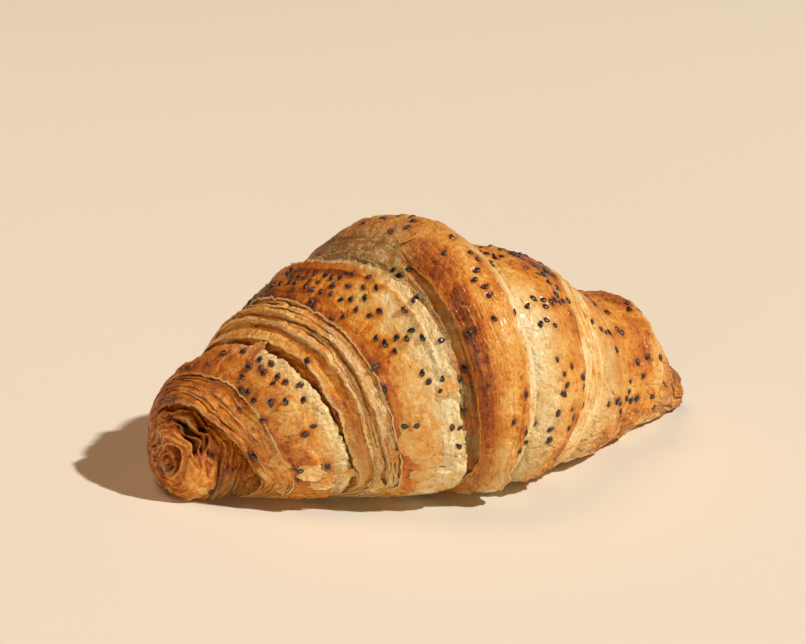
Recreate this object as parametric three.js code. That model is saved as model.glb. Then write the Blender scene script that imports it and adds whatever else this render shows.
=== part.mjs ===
// A baked croissant with a seeded crust: one closed solid, lying on its flat underside.
// The pastry is a long triangle of laminated dough rolled up from its wide end, so the outside
// shows a stepped wrap on each side of one raised middle wrap.  Millimetres, +Z up.
// +X runs along the roll from the blunt, heavy end to the small tip; -Y is the bulging front.
// The origin is at the bottom centre of the bounding box, on the surface the croissant lies on.

import * as THREE from 'three';

// ---- driving dimensions ----------------------------------------------------------------

// The roll's smooth envelope: place along the roll, half width, height, and how far the
// centre line is pushed back, because the two ends curl gently away from the front.
const ENVELOPE = [
  [-87, 13.5, 23.5, 29.5],
  [-82, 18, 31, 25.5],
  [-74, 21, 37, 22.5],
  [-62, 27.5, 49, 18],
  [-48, 33.5, 58, 13.5],
  [-32, 40.5, 69.5, 8],
  [-16, 42, 73.5, 3.5],
  [0, 39, 68, 0],
  [16, 35, 61, 1],
  [30, 31, 55, 3.5],
  [45, 24, 43.5, 7],
  [60, 21.5, 39, 10],
  [71, 17, 31, 11.5],
  [79, 9, 16, 11.5],
  [86, 7, 12.5, 11],
];

// Each wrap's edge runs aslant around the roll.  Its place along the roll is given where it
// crosses the low back, the back, the top, the upper front, the front and the low front.
const EDGE_ANGLES = [-135, -60, 0, 45, 90, 135];
const EDGES = {
  endLip: [-84, -85.5, -83.5, -80, -73, -67],
  firstWrap: [-80, -81, -77.5, -72, -67, -61.5],
  torn: [-73, -72, -68, -61, -53, -49],
  leaf1: [-70, -69, -65, -57.5, -51.5, -46.5],
  leaf2: [-67, -65.5, -61, -53.5, -47.5, -43.5],
  leaf3: [-63, -62, -58, -50, -44.5, -40.5],
  secondWrap: [-58, -57, -53, -47, -41.5, -37.5],
  raisedRim: [-50, -48, -41.5, -31.5, -26.5, -22.5],
  middleLeft: [-38, -36, -29, -23.5, -20, -17.5],
  middleRight: [2, 0, -4, -6, -6, -8.5],
  ridge1: [32, 31, 26.5, 20.5, 16.5, 8.5],
  ridge2: [36, 35, 31, 26, 22, 13],
  ridge3: [41, 40, 35.5, 30, 27.5, 18],
  lastWrap: [68, 66, 63.5, 62.5, 61, 51],
};

// The bands between neighbouring edges, from the blunt end to the tip.  Each stands above or
// below the envelope by one height at its left edge and another at its right edge, and
// swells between them.  'rings' is how many rings of vertices the band gets.
const BANDS = [
  { left: null, right: 'endLip', low: -0.5, high: -3, swell: 0.5, rings: 5 },
  { left: 'endLip', right: 'firstWrap', low: -1, high: -0.3, swell: 0.6, rings: 3 },
  { left: 'firstWrap', right: 'torn', low: 0.8, high: -1.2, swell: 1.6, rings: 5 },
  { left: 'torn', right: 'leaf1', low: -3, high: -3, swell: 0, rings: 2 },
  { left: 'leaf1', right: 'leaf2', low: -0.8, high: -1.6, swell: 0.3, rings: 2 },
  { left: 'leaf2', right: 'leaf3', low: -0.1, high: -1.1, swell: 0.3, rings: 2 },
  { left: 'leaf3', right: 'secondWrap', low: 0.5, high: -0.4, swell: 0.2, rings: 2 },
  { left: 'secondWrap', right: 'raisedRim', low: 0.8, high: 1.6, swell: 0.8, rings: 5 },
  { left: 'raisedRim', right: 'middleLeft', low: -2.6, high: -2.2, swell: -0.5, rings: 4 },
  { left: 'middleLeft', right: 'middleRight', low: 0.5, high: 0.9, swell: 2.6, rings: 6 },
  { left: 'middleRight', right: 'ridge1', low: -2, high: 0.7, swell: 2, rings: 6 },
  { left: 'ridge1', right: 'ridge2', low: 0.1, high: -0.3, swell: 0, rings: 2 },
  { left: 'ridge2', right: 'ridge3', low: -0.7, high: -1, swell: 0, rings: 2 },
  { left: 'ridge3', right: 'lastWrap', low: -1.4, high: 1.6, swell: 1.3, rings: 7 },
  { left: 'lastWrap', right: null, low: -2.8, high: -0.3, swell: 0.8, rings: 5 },
];

const AROUND = 52;           // vertices around each ring
const AXIS_HEIGHT = 0.46;    // height of the roll's axis as a share of the height
const SAG = 1.08;            // the underside reaches this much past the floor, then is flattened
const SQUARENESS = 2.35;     // the lower half is fuller than an ellipse, as risen dough settles
const BLUNT_END = 6;         // length over which the heavy end rounds off
const TIP_END = 6;           // length over which the small tip rounds off
const STEP_SHARE = 0.07;     // share of a band taken by the step at each of its edges

// ---- curves through stations -----------------------------------------------------------

// A smooth curve through the given places and values, with centred slopes at each place.
function throughPoints(places, values, x) {
  const last = places.length - 1;
  const slope = (i) => {
    const before = Math.max(i - 1, 0);
    const after = Math.min(i + 1, last);
    return (values[after] - values[before]) / (places[after] - places[before]);
  };
  let i = 0;
  while (i < last - 1 && x > places[i + 1]) i += 1;
  const span = places[i + 1] - places[i];
  const t = THREE.MathUtils.clamp((x - places[i]) / span, 0, 1);
  const s = 1 - t;
  return (1 + 2 * t) * s * s * values[i] + t * s * s * span * slope(i)
    + t * t * (3 - 2 * t) * values[i + 1] - t * t * s * span * slope(i + 1);
}

const places = ENVELOPE.map((row) => row[0]);
const halfWidths = ENVELOPE.map((row) => row[1]);
const heights = ENVELOPE.map((row) => row[2]);
const offsets = ENVELOPE.map((row) => row[3]);
const START = places[0];
const END = places[places.length - 1];

// Where an edge crosses the given angle.  Angle 0 is the top and 90 degrees the front; under
// the croissant the edge slides back to where it comes up again behind.
function edgeAt(name, degrees) {
  if (name === null) return null;
  const row = EDGES[name];
  const under = (row[0] + row[5]) / 2;
  const angles = [-225, -180, ...EDGE_ANGLES, 180, 225];
  return throughPoints(angles, [row[5], under, ...row, under, row[0]], degrees);
}

// ---- the surface -----------------------------------------------------------------------

// How far the section has shrunk towards the roll's axis at either rounded end.
function endRounding(x) {
  const intoBlunt = THREE.MathUtils.clamp(1 - (x - START) / BLUNT_END, 0, 1);
  const intoTip = THREE.MathUtils.clamp(1 - (END - x) / TIP_END, 0, 1);
  return Math.cbrt(1 - intoBlunt ** 3) * Math.sqrt(1 - intoTip ** 2);
}

// A point of the surface at place x and angle, standing 'relief' off the envelope.
function surfacePoint(x, degrees, relief) {
  const halfWidth = throughPoints(places, halfWidths, x);
  const height = throughPoints(places, heights, x);
  const offset = throughPoints(places, offsets, x);
  const angle = THREE.MathUtils.degToRad(degrees);
  const across = Math.sin(angle);
  const upward = Math.cos(angle);
  const axis = AXIS_HEIGHT * height;
  const shrink = endRounding(x);
  let y = halfWidth * across;
  let z = (height - axis) * upward;
  if (upward < 0) {
    y = halfWidth * Math.sign(across) * Math.abs(across) ** (2 / SQUARENESS);
    z = -SAG * axis * Math.abs(upward) ** (2 / SQUARENESS);
  }
  const nearFloor = THREE.MathUtils.clamp((upward + 0.96) / 0.35, 0, 1);
  const grow = shrink * (1 + (relief * nearFloor) / Math.hypot(y, z));
  return new THREE.Vector3(x, offset - y * grow, Math.max(axis + z * grow, 0));
}

// The rings of one band: shares of the way across it, closer together at the rounded ends.
function bandShares(band) {
  const shares = [];
  for (let i = 0; i < band.rings; i += 1) {
    shares.push(THREE.MathUtils.lerp(STEP_SHARE, 1 - STEP_SHARE, i / (band.rings - 1)));
  }
  if (band.left === null) shares.unshift(0.004, 0.03);
  if (band.right === null) shares.push(0.975, 0.996);
  return shares;
}

// One ring of vertices, at a share of the way across a band and all the way around it.
function bandRing(band, share) {
  const relief = THREE.MathUtils.lerp(band.low, band.high, share)
    + band.swell * 4 * share * (1 - share);
  const ring = [];
  for (let i = 0; i < AROUND; i += 1) {
    const degrees = -180 + (360 * i) / AROUND;
    const left = edgeAt(band.left, degrees) ?? START;
    const right = edgeAt(band.right, degrees) ?? END;
    ring.push(surfacePoint(THREE.MathUtils.lerp(left, right, share), degrees, relief));
  }
  return ring;
}

// The closed skin: all rings in order, joined by triangles, with a fan at either end.
function croissantGeometry() {
  const rings = BANDS.flatMap((band) => bandShares(band).map((share) => bandRing(band, share)));
  const firstAxis = AXIS_HEIGHT * heights[0];
  const lastAxis = AXIS_HEIGHT * heights[heights.length - 1];
  const points = rings.flat();
  const startPole = points.length;
  const endPole = startPole + 1;
  points.push(new THREE.Vector3(START, offsets[0], firstAxis));
  points.push(new THREE.Vector3(END, offsets[offsets.length - 1], lastAxis));

  const triangles = [];
  const lastRing = rings.length - 1;
  for (let i = 0; i < AROUND; i += 1) {
    const next = (i + 1) % AROUND;
    triangles.push(startPole, next, i);
    triangles.push(endPole, lastRing * AROUND + i, lastRing * AROUND + next);
    for (let ring = 0; ring < lastRing; ring += 1) {
      const near = ring * AROUND;
      const far = near + AROUND;
      triangles.push(near + i, near + next, far + i);
      triangles.push(near + next, far + next, far + i);
    }
  }
  const geometry = new THREE.BufferGeometry().setFromPoints(points);
  geometry.setIndex(triangles);
  geometry.computeBoundingBox();
  const middle = geometry.boundingBox.getCenter(new THREE.Vector3());
  geometry.translate(-middle.x, -middle.y, 0);
  geometry.computeVertexNormals();
  return geometry;
}

// ---- the part --------------------------------------------------------------------------

const crust = new THREE.MeshStandardMaterial({ color: 0xc98a45, roughness: 0.5, metalness: 0 });
const croissant = new THREE.Mesh(croissantGeometry(), crust);
croissant.name = 'croissant';

const part = new THREE.Group();
part.add(croissant);

export default part;
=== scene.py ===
# %% [markdown]
# # A seeded croissant
#
# A croissant is one long triangle of dough, folded with butter into dozens of thin leaves and
# rolled up from its wide end.  In the oven the leaves puff apart, the outermost skin turns
# brown under its egg wash, and where the skin is cut or torn the pale leaves show their edges.
# This script builds that skin leaf by leaf, sprinkles black sesame on it, and lights it.

# %% Load the frame
import bpy
import math
import numpy as np
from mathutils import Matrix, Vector


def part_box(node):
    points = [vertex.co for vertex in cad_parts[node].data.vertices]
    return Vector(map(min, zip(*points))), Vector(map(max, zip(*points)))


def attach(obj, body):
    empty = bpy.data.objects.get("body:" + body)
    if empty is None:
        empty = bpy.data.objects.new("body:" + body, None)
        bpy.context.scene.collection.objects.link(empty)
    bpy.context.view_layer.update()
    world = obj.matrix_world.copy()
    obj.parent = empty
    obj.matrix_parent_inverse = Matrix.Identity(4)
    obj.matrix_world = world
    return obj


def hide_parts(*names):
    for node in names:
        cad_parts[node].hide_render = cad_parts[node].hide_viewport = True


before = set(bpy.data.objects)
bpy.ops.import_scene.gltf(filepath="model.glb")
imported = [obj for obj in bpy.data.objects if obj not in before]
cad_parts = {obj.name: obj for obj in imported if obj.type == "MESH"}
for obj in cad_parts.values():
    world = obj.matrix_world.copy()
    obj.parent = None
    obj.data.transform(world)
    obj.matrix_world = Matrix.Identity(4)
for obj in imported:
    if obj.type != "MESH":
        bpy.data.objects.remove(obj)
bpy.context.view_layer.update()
solid_low, solid_high = [np.array(corner) * 1000 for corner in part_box("croissant")]
print("solid, mm:", solid_low.round(1), "to", solid_high.round(1))

# %% [markdown]
# ## Numbers and smooth curves
#
# Everything is drawn in millimetres and turned to metres only when a mesh is made.  A few
# stations carry each curve: a cubic runs through them with centred slopes, which is the
# softest curve that still passes through every station, like a baker's thumb along a roll.

# %% Curves through stations
MM = 0.001


def through(places, values, x):
    places, values = np.asarray(places, float), np.asarray(values, float)
    slopes = np.empty_like(values)
    slopes[1:-1] = (values[2:] - values[:-2]) / (places[2:] - places[:-2])
    slopes[0] = (values[1] - values[0]) / (places[1] - places[0])
    slopes[-1] = (values[-1] - values[-2]) / (places[-1] - places[-2])
    i = np.clip(np.searchsorted(places, x, side="right") - 1, 0, len(places) - 2)
    span = places[i + 1] - places[i]
    t = np.clip((x - places[i]) / span, 0, 1)
    s = 1 - t
    return ((1 + 2 * t) * s * s * values[i] + t * s * s * span * slopes[i]
            + t * t * (3 - 2 * t) * values[i + 1] - t * t * s * span * slopes[i + 1])


def ease(x, start, end):
    t = np.clip((x - start) / (end - start), 0, 1)
    return t * t * (3 - 2 * t)


def mix(a, b, share):
    return a + (b - a) * share


def hill(x, width):
    return np.exp(-(x / width) ** 2)


print("a hill one width away from its top:", hill(1, 1).round(3))

# %% [markdown]
# ## The roll's envelope
#
# The envelope is the smooth croissant with no wraps on it: wide and high a little to one side
# of the middle, blunt at the heavy end, small at the tip, with both ends curling backwards.
# The underside sags past the tray and is then flattened by it.  These are the same driving
# dimensions as the solid's, so that the skin lies exactly on it.

# %% Envelope
ENVELOPE = np.array([
    # along the roll, half width, height, centre line pushed back
    (-87, 13.5, 23.5, 29.5), (-82, 18, 31, 25.5), (-74, 21, 37, 22.5), (-62, 27.5, 49, 18),
    (-48, 33.5, 58, 13.5), (-32, 40.5, 69.5, 8), (-16, 42, 73.5, 3.5), (0, 39, 68, 0),
    (16, 35, 61, 1), (30, 31, 55, 3.5), (45, 24, 43.5, 7), (60, 21.5, 39, 10),
    (71, 17, 31, 11.5), (79, 9, 16, 11.5), (86, 7, 12.5, 11),
])
START, END = ENVELOPE[0, 0], ENVELOPE[-1, 0]
AXIS_HEIGHT = 0.46    # share of the height at which the roll's axis runs
SAG = 1.08            # how much deeper than the tray the round underside would reach
SQUARENESS = 2.35     # of the lower half's section; 2 would be round
BLUNT_END = 6         # mm over which each end rounds off
TIP_END = 6
DRAWN_MIDDLE = np.array([-0.5, 4.14, 0])      # the solid's origin lies under this point


def envelope_at(x):
    """Half width, height and how far the centre line is pushed back, at places x."""
    return [through(ENVELOPE[:, 0], ENVELOPE[:, i], x) for i in (1, 2, 3)]


def on_skin(x, angle, relief):
    """Points at place x and angle (0 top, 90 degrees front), relief mm off the envelope."""
    half_width, height, pushed = envelope_at(x)
    axis = AXIS_HEIGHT * height
    into_blunt = np.clip(1 - (x - START) / BLUNT_END, 0, 1)
    into_tip = np.clip(1 - (END - x) / TIP_END, 0, 1)
    shrink = np.cbrt(1 - into_blunt ** 3) * np.sqrt(1 - into_tip ** 2)
    across, upward = np.sin(angle), np.cos(angle)
    low_across = np.sign(across) * np.abs(across) ** (2 / SQUARENESS)
    low_down = -SAG * axis * np.abs(upward) ** (2 / SQUARENESS)
    y = half_width * np.where(upward < 0, low_across, across)
    z = np.where(upward < 0, low_down, (height - axis) * upward)
    grow = shrink * (1 + relief * near_floor(angle) / np.hypot(y, z))
    return np.stack([x + 0 * grow, pushed - y * grow, np.maximum(axis + z * grow, 0)], -1)


def near_floor(angle):
    """1 over most of the roll, falling to 0 where it turns under on to the tray."""
    return np.clip((np.cos(angle) + 0.97) / 0.27, 0, 1)


print("roll from", START, "to", END, "mm")

# %% [markdown]
# ## Noise with a size
#
# Baking is irregular at every size, from the dents of a whole wrap down to flour dust.  One
# helper makes smooth random values that change over a stated distance in millimetres, from a
# seeded lattice, so each run bakes the same croissant.  A second one scatters cells, for
# blisters and for the plates into which thin skin breaks.

# %% Noise helpers
LATTICE = 32


def noise(points, size, seed):
    """Smooth values, about -1 to 1, that change over 'size' mm (one size, or one per axis)."""
    table = np.random.default_rng(seed).uniform(-1, 1, (LATTICE,) * 3)
    q = points / np.asarray(size, float)
    i = np.floor(q).astype(int)
    f = q - i
    f = f * f * (3 - 2 * f)
    total = 0
    for corner in np.ndindex(2, 2, 2):
        weight = np.prod(np.where(corner, f, 1 - f), axis=-1)
        j = (i + corner) % LATTICE
        total = total + weight * table[j[..., 0], j[..., 1], j[..., 2]]
    return total


def cells(u, v, size, seed):
    """Distance to the nearest scattered point, to its cell's border, and the cell's number."""
    rng = np.random.default_rng(seed)
    jitter = rng.uniform(0, 1, (LATTICE, LATTICE, 3))
    iu, iv = np.floor(u / size).astype(int), np.floor(v / size).astype(int)
    nearest = np.full(u.shape, 9.0)
    second = np.full(u.shape, 9.0)
    number = np.zeros(u.shape)
    for du in (-1, 0, 1):
        for dv in (-1, 0, 1):
            spot = jitter[(iu + du) % LATTICE, (iv + dv) % LATTICE]
            away = np.hypot(iu + du + spot[..., 0] - u / size, iv + dv + spot[..., 1] - v / size)
            closer = away < nearest
            second = np.where(closer, nearest, np.minimum(second, away))
            number = np.where(closer, spot[..., 2], number)
            nearest = np.where(closer, away, nearest)
    return nearest, second - nearest, number


def blur(grid, reach):
    """Average over a square neighbourhood of the skin's grid."""
    for axis in (0, 1):
        grid = sum(np.roll(grid, k, axis) for k in range(-reach, reach + 1)) / (2 * reach + 1)
    return grid


print("noise check:", noise(np.array([[1.0, 2.0, 3.0]]), 4, 1).round(3))

# %% [markdown]
# ## Where the wraps' edges run
#
# Each turn of the dough ends in an edge that runs aslant around the roll, leaning towards the
# middle as it comes down the front.  An edge is given where it crosses the low back, the
# back, the top, the upper front, the front and the low front.  Under the croissant it slides
# back to where it comes up again behind, so every edge closes on itself.

# %% Edges of the wraps
EDGE_ANGLES = [-135, -60, 0, 45, 90, 135]
EDGES = {
    "end_lip": [-84, -85.5, -83.5, -80, -73, -67],
    "first_wrap": [-80, -81, -77.5, -72, -67, -61.5],
    "torn": [-73, -72, -68, -61, -53, -49],
    "leaf_1": [-70, -69, -65, -57.5, -51.5, -46.5],
    "leaf_2": [-67, -65.5, -61, -53.5, -47.5, -43.5],
    "leaf_3": [-63, -62, -58, -50, -44.5, -40.5],
    "second_wrap": [-58, -57, -53, -47, -41.5, -37.5],
    "raised_rim": [-50, -48, -41.5, -31.5, -26.5, -22.5],
    "middle_left": [-38, -36, -29, -23.5, -20, -17.5],
    "middle_right": [2, 0, -4, -6, -6, -8.5],
    "under_leaf": [5, 3, -1.2, -2.9, -2.7, -5.3],
    "ridge_1": [32, 31, 26.5, 20.5, 16.5, 8.5],
    "ridge_2": [36, 35, 31, 26, 22, 13],
    "ridge_3": [41, 40, 35.5, 30, 27.5, 18],
    "last_wrap": [68, 66, 63.5, 62.5, 61, 51],
    "tip_leaf": [69.5, 67.5, 65, 64.2, 63, 53],
}
ROWS = 600
FLAT_ANGLE = 150      # beyond this the skin lies on the tray and needs fewer rows
FLAT_DENSITY = 0.35


def row_angles():
    """Angles of the rows around the roll, spaced wider where the skin lies flat below."""
    fine = np.linspace(-180, 180, 4001)
    density = np.where(np.abs(fine) > FLAT_ANGLE, FLAT_DENSITY, 1.0)
    total = np.concatenate([[0], np.cumsum((density[1:] + density[:-1]) / 2)])
    return np.interp(np.arange(ROWS) / ROWS * total[-1], total, fine)


DEGREES = row_angles()
ANGLE = np.radians(DEGREES)
RADIUS = 38           # a typical radius of the roll, to turn angles into mm around it
AROUND = ANGLE * RADIUS
FADE = near_floor(ANGLE)


def edge_line(name):
    row = EDGES[name]
    under = (row[0] + row[5]) / 2
    angles = [-225, -180, *EDGE_ANGLES, 180, 225]
    return through(angles, [row[5], under, *row, under, row[0]], DEGREES)


def ring_noise(size, seed):
    """Noise along a line that goes once around the roll and meets itself."""
    loop = np.stack([np.cos(ANGLE), np.sin(ANGLE), 0 * ANGLE], -1) * RADIUS
    return noise(loop + 40, size, seed)


print(len(EDGES), "edges,", ROWS, "rows around")

# %% [markdown]
# ## Bands and leaves
#
# Between two edges lies a band of skin.  It stands above or below the envelope by one height
# at each side and swells in between.  Each edge is a real leaf of dough: the skin of the
# lower band runs a little way under it, turns back along its underside and comes out around
# its rim, so that true dark gaps open under the leaves.  A heap of thin leaves is a band that
# is split into many.

# %% Bands and how their edges look
INSIDE = START + 10   # the skin of the open end starts hidden behind the core of the roll
ON_TOP = ease(np.abs(DEGREES + 40), 50, 72)   # 0 where the middle wrap melts into the valley
VALLEY = 0.25 + 0.75 * ease(np.abs(DEGREES + 8), 8, 45)   # the valley closes over the top
LOW_FRONT = ease(DEGREES, 60, 100)   # the raised rim sinks and closes low on the front
BANDS = [
    # name, left and right edge, mm above the envelope beside each, swell between, leaves
    ("core", None, "end_lip", -9, -8, 0, 1),
    ("stack", "end_lip", "first_wrap", -1, -0.3, 0.6, 7),
    ("first", "first_wrap", "torn", 0.8, -1.2, 1.6, 1),
    ("gap", "torn", "leaf_1", -3.6, -3.4, 0, 1),
    ("leaf_a", "leaf_1", "leaf_2", -0.8, -1.6, 0.3, 1),
    ("leaf_b", "leaf_2", "leaf_3", -0.1, -1.1, 0.3, 2),
    ("leaf_c", "leaf_3", "second_wrap", 0.5, -0.4, 0.2, 3),
    ("second", "second_wrap", "raised_rim", 0.8, mix(1.8, 0.5, LOW_FRONT), 0.8, 1),
    ("valley", "raised_rim", "middle_left", mix(-3.3, -2.0, LOW_FRONT) * VALLEY,
     mix(0.45, -3.4 * VALLEY, ON_TOP), -0.5, 1),
    ("middle", "middle_left", "middle_right", mix(0.5, -0.8, ON_TOP), 0.9,
     mix(2.4, 3.2, ON_TOP), 1),
    ("under_leaf", "middle_right", "under_leaf", -0.7, -0.9, 0.3, 1),
    ("third", "under_leaf", "ridge_1", -2.2, 0.7, 2.0, 1),
    ("ridge_a", "ridge_1", "ridge_2", 0.1, -0.3, 0, 2),
    ("ridge_b", "ridge_2", "ridge_3", -0.7, -1.0, 0, 2),
    ("last", "ridge_3", "last_wrap", -1.4, 1.6, 1.3, 1),
    ("tip_leaf", "last_wrap", "tip_leaf", 0.2, -0.2, 0, 1),
    ("tip", "tip_leaf", None, -3.2, -0.3, 0.8, 1),
]

# 'up' is +1 where the wrap on the tip's side is on top, -1 where the one on the heavy end's
# side is.  Then, in mm: how thick the leaf is, how far the skin runs under it, how far its rim
# overhangs, how high the rim curls and how ragged it is; 'bare' is how much pale crumb shows.
LEAF_VALUES = ("up", "thick", "cave", "hang", "curl", "ragged", "bare")
LEAVES = {
    "end_lip": (1, 1.5, 3.0, 1.0, 0.5, 0.6, 0.35),
    "first_wrap": (1, 0.8, 0.8, 0.4, 0.1, 0.5, 0.1),
    "torn": (-1, 0.9, 1.4, 0.5, 0.4, 1.3, 1.0),
    "leaf_1": (1, 0.5, 2.6, 0.7, 0.5, 1.0, 0.9),
    "leaf_2": (1, 0.9, 1.8, 0.7, 0.5, 1.0, 1.0),
    "leaf_3": (1, 0.5, 1.5, 0.6, 0.3, 0.8, 0.7),
    "second_wrap": (1, 0.6, 1.2, 0.4, 0.0, 0.5, 0.1),
    "raised_rim": (-1, 1.2, 1.6, 0.6, mix(1.1, 0.15, LOW_FRONT), 1.1, 1.0),
    "middle_left": (1, 1.1, 0.9, 0.3, -0.35, 0.4, 0.0),
    "middle_right": (-1, 0.8, 0.5, 0.3, -0.3, 0.25, 0.5),
    "under_leaf": (-1, 0.6, 0.4, 0.2, 0.0, 0.3, 0.7),
    "ridge_1": (-1, 0.7, 0.4, 0.2, 0.0, 0.3, 0.6),
    "ridge_2": (-1, 0.7, 0.4, 0.2, 0.0, 0.3, 0.6),
    "ridge_3": (-1, 0.6, 0.3, 0.1, 0.0, 0.3, 0.6),
    "last_wrap": (-1, 1.0, 0.8, 0.4, 0.0, 0.35, 0.5),
    "tip_leaf": (-1, 0.9, 0.8, 0.3, 0.0, 0.35, 0.4),
    # the thin leaves of a heap, by the side that is on top
    "thin_up": (1, 0.4, 1.3, 0.4, 0.2, 0.3, 0.45),
    "thin_down": (-1, 0.4, 0.2, 0.1, 0.05, 0.15, 0.5),
}
LEAVES = {name: dict(zip(LEAF_VALUES, row)) for name, row in LEAVES.items()}
LEAF_STEP = 0.5       # mm that a thin leaf of a heap typically stands above the one below it
RAGGED = [(9, 0.6, 0), (2.6, 0.35, 1), (0.9, 0.25, 2)]     # size, share, step of the seed

# %% Split the heaps and lay out all bands
def ragged_line(line, amount, seed):
    """An edge line that wanders and tears at three sizes."""
    return line + amount * sum(share * ring_noise(size, seed + step) for size, share, step in RAGGED)


def openness(seed):
    """Where a leaf of a heap stands proud (1) and where it lies closed (0), in lens shapes."""
    return np.clip(0.45 + 1.5 * ring_noise(8, seed), 0, 1)


def thin_leaf(up, seed):
    leaf = dict(LEAVES["thin_up" if up > 0 else "thin_down"])
    leaf["cave"] = leaf["cave"] * openness(seed)
    leaf["hang"] = leaf["hang"] * (0.4 + 0.6 * openness(seed))
    return leaf


def lay_out():
    """All bands, heaps split, each with its two edge lines and the leaf at its left edge."""
    lines = {name: ragged_line(edge_line(name), LEAVES[name]["ragged"], 10 * i)
             for i, name in enumerate(EDGES)}
    laid = []
    offset = 0
    for number, (name, left_edge, right_edge, low_side, high_side, swell, count) in enumerate(BANDS):
        left = lines.get(left_edge, np.full(ROWS, INSIDE))
        right = lines.get(right_edge, np.full(ROWS, END))
        leaf = LEAVES.get(left_edge)
        up = leaf["up"] if leaf else 1
        within = [0.75 / count * ring_noise(12, 500 + 10 * number + i) for i in range(1, count)]
        wander = [0 * ANGLE, *within, 0 * ANGLE]
        for i in range(count):
            seed = 900 + 10 * number + i
            step = (LEAF_STEP if count > 1 else 0) * (0.2 + 2.2 * openness(seed))
            low = mix(low_side, high_side, i / count) + up * step / 2
            high = mix(low_side, high_side, (i + 1) / count) - up * step / 2
            start = mix(left, right, i / count + wander[i])
            stop = mix(left, right, (i + 1) / count + wander[i + 1])
            laid.append(dict(name=name, low=low + 0 * ANGLE, high=high + 0 * ANGLE,
                             swell=swell / count, left=start, right=stop, offset=offset,
                             leaf=leaf if i == 0 else thin_leaf(up, seed)))
            offset += np.abs(stop - start).mean()
    return laid


laid_bands = lay_out()
print(len(laid_bands), "bands after the heaps are split")

# %% [markdown]
# ## Laying the skin
#
# The skin is one grid: rows go around the roll and columns follow the edges, so no step is
# ever cut into a staircase.  Most columns lie on top of a band; a few at each edge make the
# leaf.  Columns are closer together than the smallest flake, and each one remembers which
# band it is in and how far it is from the band's edges, because colour and texture need that.

# %% Columns of the grid
COLUMN_STEP = 0.4
MORE_ON_TIP, CROWD_TO_TIP = 1.6, 1.5      # the blunt tip bends sharply and needs more columns
OVERHANG_FADES = 1.2                      # mm from a rim within which its overhang dies out


def melt(band):
    """Where the leaf at a band's left edge shows: everywhere but on the melted middle wrap."""
    return ON_TOP if band["name"] == "middle" else 1.0


def curl_of(leaf, away):
    """How far a leaf's rim curls up, or a rounded shoulder drops, at a distance from it."""
    reach = 1.6 if np.all(leaf["curl"] > 0) else 4.0
    return leaf["curl"] * hill(away, reach)


def band_columns(band, next_leaf):
    """The columns on top of one band: place, height, mm to both edges, and place in the grain."""
    width = band["right"] - band["left"]
    count = max(3, int(round(np.percentile(width, 80) / COLUMN_STEP)))
    if band["name"] == "tip":
        count = int(count * MORE_ON_TIP)
    columns = []
    for i in range(count):
        share = (i + 0.5) / count
        if band["name"] == "tip":
            share = 1 - (1 - share) ** CROWD_TO_TIP
        from_left, to_right = share * width, (1 - share) * width
        x = band["left"] + from_left
        high = mix(band["low"], band["high"], share) + band["swell"] * 4 * share * (1 - share)
        if band["leaf"] and band["leaf"]["up"] > 0:
            high = high + curl_of(band["leaf"], from_left) * melt(band)
            fading = FADE * np.exp(-from_left / OVERHANG_FADES)
            x = x - band["leaf"]["hang"] * fading * melt(band)
        if next_leaf and next_leaf["up"] < 0:
            high = high + curl_of(next_leaf, to_right)
            x = x + next_leaf["hang"] * FADE * np.exp(-to_right / OVERHANG_FADES)
        grain = band["offset"] + share * width.mean()
        columns.append((x, high, from_left, to_right, grain + 0 * x))
    return columns


print("about one column every", COLUMN_STEP, "mm")


# %% Columns around a leaf's rim, and the whole skin
UNDER_LEAF_COLUMNS = 3                    # of a leaf's columns, those that belong to what it covers
LEAF_BARE = [0.1, 0, 0, 0.2, 0.6, 1, 1, 0.9]      # crumb on each column around a leaf's rim


def leaf_columns(bottom, above, line, leaf, shows):
    """Columns of one leaf edge, from the lower skin under the leaf and around its rim."""
    top = above + leaf["curl"] * shows
    thick = np.minimum(leaf["thick"], np.maximum(top - bottom, 0.15) * 0.8) * shows
    side = leaf["up"]
    inward = side * leaf["cave"] * FADE * shows
    outward = -side * leaf["hang"] * FADE * shows
    profile = [
        (0.0, bottom - 0.05 * shows),
        (inward * 0.6, bottom - 0.15 * shows),
        (inward, mix(bottom, top - thick, 0.5)),
        (inward * 0.6, top - thick),
        (0.0, top - thick),
        (outward * 0.9, top - thick * 0.8),
        (outward, top - thick * 0.35),
        (outward * 0.6, top - 0.02),
    ]
    spacing = side * 0.06 * (np.arange(len(profile)) - 3.5)
    return [(line + away + gap * (1 - shows), high)
            for (away, high), gap in zip(profile, spacing)]


def lay_skin(bands):
    """Every column from the heavy end to the tip, with all that is known about its points."""
    columns = []
    for number, band in enumerate(bands):
        leaf = band["leaf"]
        if leaf is not None:
            way = leaf["up"]
            sides = [(bands[number - 1]["high"], number - 1), (band["low"], number)][::way]
            (below, below_owner), (above, above_owner) = sides
            rim = leaf_columns(below, above, band["left"], leaf, melt(band))
            owners = [below_owner] * UNDER_LEAF_COLUMNS + [above_owner] * (len(rim) - UNDER_LEAF_COLUMNS)
            for (x, high), owner, share in list(zip(rim, owners, LEAF_BARE))[::way]:
                away = np.full(ROWS, 0.01)
                shown = share * leaf["bare"] * melt(band) + 0 * x
                columns.append((x, high, away, away, band["offset"] + 0 * x, owner, shown, 1 + 0 * x))
        next_leaf = bands[number + 1]["leaf"] if number + 1 < len(bands) else None
        for x, high, from_left, to_right, grain in band_columns(band, next_leaf):
            columns.append((x, high, from_left, to_right, grain, number, 0 * x, 0 * x))
    return columns


skin_columns = lay_skin(laid_bands)
print(len(skin_columns), "columns x", ROWS, "rows")

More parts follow.
